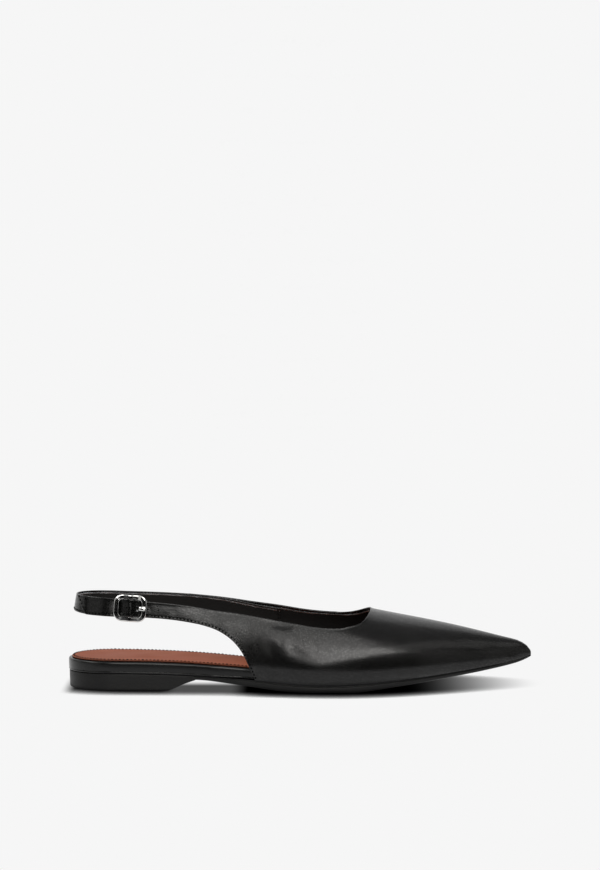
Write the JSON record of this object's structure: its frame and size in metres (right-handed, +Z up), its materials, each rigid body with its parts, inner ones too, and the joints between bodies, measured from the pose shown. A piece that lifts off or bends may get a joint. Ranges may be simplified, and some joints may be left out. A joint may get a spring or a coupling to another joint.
{
  "type": "slingback shoe",
  "caption": "Flat slingback shoe with a pointed toe, black leather upper, buckled heel strap, tan insock and low block heel; for the right foot.",
  "frame": {"origin": "middle of the shoe's box, on the floor", "axes": "+X from heel to toe, +Y to the inner (medial) side, +Z up; the buckle is on the -Y side"},
  "size_m": [0.27, 0.0795, 0.0553],
  "materials": {
    "sole": "matte black",
    "rim_leather": "smooth black, semi-gloss",
    "insock_leather": "tan brown, soft sheen",
    "upper_leather": "fine-grained black, semi-gloss",
    "buckle": "polished"
  },
  "bodies": {
    "root": {"outsole": "sole", "heel": "sole", "footbed": "rim_leather", "insock": "insock_leather", "upper": "upper_leather", "sling_strap": "upper_leather", "buckle_frame": "buckle", "buckle_prong": "buckle"}
  },
  "joints": []
}
